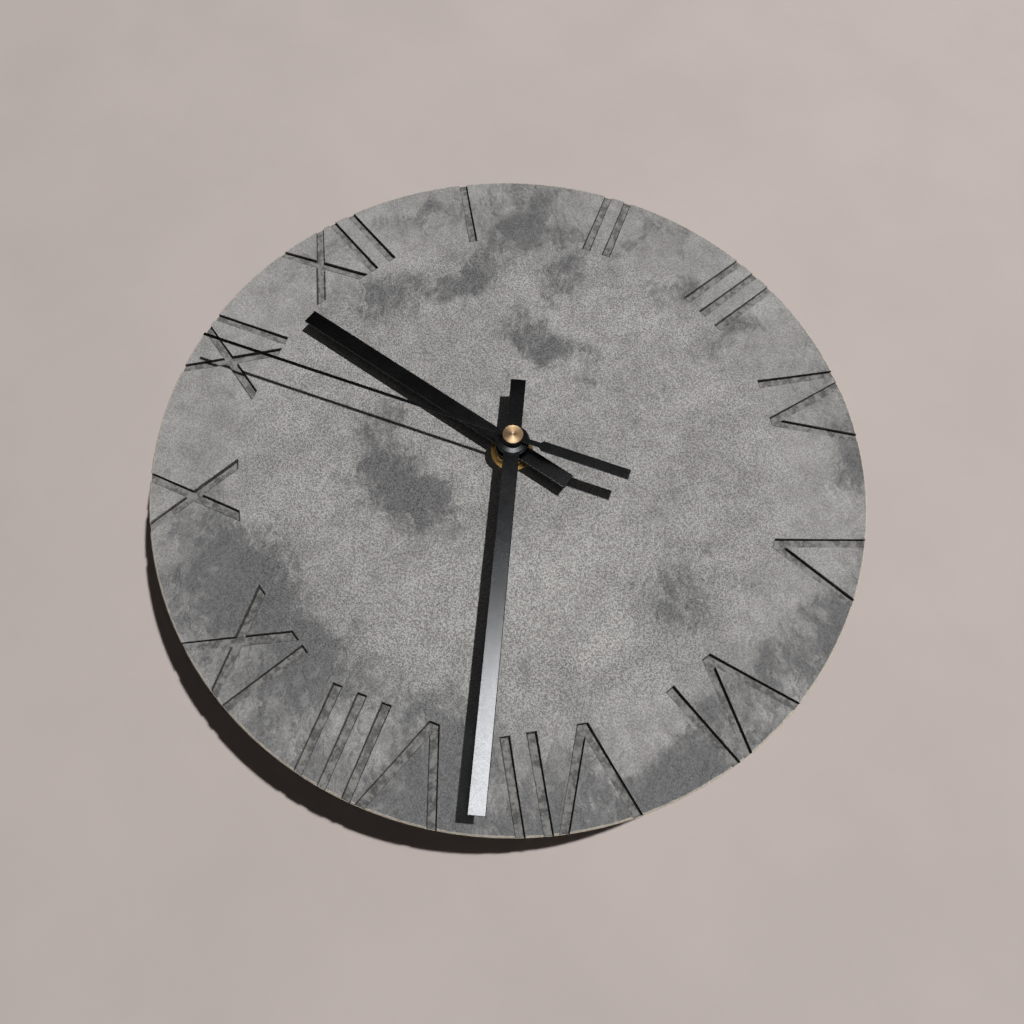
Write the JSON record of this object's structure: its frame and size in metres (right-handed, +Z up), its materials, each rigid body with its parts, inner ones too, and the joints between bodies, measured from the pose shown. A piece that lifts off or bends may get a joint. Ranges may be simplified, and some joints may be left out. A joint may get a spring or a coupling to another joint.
{
  "type": "wall clock",
  "caption": "Round analogue wall clock: a thick cast stone dial with sunk Roman numerals, black baton hands and a battery quartz movement behind it.",
  "frame": {"origin": "on the hand axis, in the plane of the wall", "axes": "+X to the right and +Z up towards XII as the dial is read, +Y into the wall; the dial faces -Y"},
  "size_m": [0.3, 0.044, 0.3],
  "materials": {
    "cast_stone": "ground and burnished cement",
    "black_anodised": "satin black anodised",
    "brass": "turned",
    "spring_brass": "rolled strip",
    "case_plastic": "moulded black",
    "gear_plastic": "moulded natural acetal",
    "knob_plastic": "moulded black",
    "rubber": "soft black rubber",
    "zinc_steel": "zinc plated sheet",
    "steel": "ground rod",
    "electrical_steel": "stamped sheet",
    "ferrite": "sintered magnet",
    "board": "printed circuit laminate",
    "crystal_can": "tinned can",
    "epoxy": "potting resin",
    "enamelled_copper": "enamelled copper wire",
    "cell_sleeve": "plain sleeve"
  },
  "bodies": {
    "clock_body": {"dial": "cast_stone", "dial_washer": "brass", "lock_nut": "brass", "rubber_gasket": "rubber", "threaded_bush": "brass", "wall_hanger": "zinc_steel", "rear_case": "case_plastic", "front_cover": "case_plastic", "train_plate": "gear_plastic", "battery_cell": "cell_sleeve", "negative_contact": "spring_brass", "positive_contact": "spring_brass", "circuit_board": "board", "quartz_crystal": "crystal_can", "clock_chip": "epoxy", "stator": "electrical_steel", "coil_core": "electrical_steel", "coil_bobbin": "gear_plastic", "coil_winding": "enamelled_copper"},
    "rotor": {"rotor_magnet": "ferrite", "rotor_pinion": "gear_plastic"},
    "fifth_gear": {"fifth_wheel": "gear_plastic"},
    "second_train": {"second_wheel": "gear_plastic", "second_arbor": "steel", "second_hub": "black_anodised", "second_hand": "black_anodised", "second_hub_top": "black_anodised", "brass_cap": "brass"},
    "third_gear": {"third_wheel": "gear_plastic"},
    "centre_gear": {"centre_wheel": "gear_plastic"},
    "minute_train": {"minute_arbor": "brass", "clutch_spring": "spring_brass", "minute_collet": "black_anodised", "minute_hand": "black_anodised"},
    "motion_gear": {"motion_wheel": "gear_plastic"},
    "hour_train": {"hour_wheel": "gear_plastic", "hour_collet": "black_anodised", "hour_hand": "black_anodised"},
    "setting_train": {"setting_pinion": "gear_plastic", "setting_knob": "knob_plastic"}
  },
  "joints": [
    {"name": "second_hand_turn", "type": "hinge", "parent": "clock_body", "child": "second_train", "pos_m": [0, 0, 0], "axis": [0, 1, 0], "continuous": true},
    {"name": "rotor_turn", "type": "hinge", "parent": "clock_body", "child": "rotor", "pos_m": [0.01124, 0, 0.01296], "axis": [0, 1, 0], "continuous": true},
    {"name": "fifth_wheel_turn", "type": "hinge", "parent": "clock_body", "child": "fifth_gear", "pos_m": [0.00372, 0, 0.01022], "axis": [0, 1, 0], "continuous": true},
    {"name": "third_wheel_turn", "type": "hinge", "parent": "clock_body", "child": "third_gear", "pos_m": [-0.00935, 0, 0.0054], "axis": [0, 1, 0], "continuous": true},
    {"name": "centre_wheel_turn", "type": "hinge", "parent": "clock_body", "child": "centre_gear", "pos_m": [0, 0, 0], "axis": [0, 1, 0], "continuous": true},
    {"name": "minute_hand_turn", "type": "hinge", "parent": "clock_body", "child": "minute_train", "pos_m": [0, 0, 0], "axis": [0, 1, 0], "continuous": true},
    {"name": "motion_wheel_turn", "type": "hinge", "parent": "clock_body", "child": "motion_gear", "pos_m": [0.00811, 0, -0.00217], "axis": [0, 1, 0], "continuous": true},
    {"name": "hour_hand_turn", "type": "hinge", "parent": "clock_body", "child": "hour_train", "pos_m": [0, 0, 0], "axis": [0, 1, 0], "continuous": true},
    {"name": "setting_knob_turn", "type": "hinge", "parent": "clock_body", "child": "setting_train", "pos_m": [0.01651, 0, -0.00217], "axis": [0, 1, 0], "continuous": true}
  ],
  "couplings": [
    {"joint": "rotor_turn", "follows": "second_hand_turn", "ratio": 30},
    {"joint": "fifth_wheel_turn", "follows": "second_hand_turn", "ratio": -7.5},
    {"joint": "third_wheel_turn", "follows": "second_hand_turn", "ratio": -0.13333},
    {"joint": "centre_wheel_turn", "follows": "second_hand_turn", "ratio": 0.016667},
    {"joint": "motion_wheel_turn", "follows": "minute_hand_turn", "ratio": -0.33333},
    {"joint": "hour_hand_turn", "follows": "minute_hand_turn", "ratio": 0.083333},
    {"joint": "setting_knob_turn", "follows": "minute_hand_turn", "ratio": 1}
  ]
}
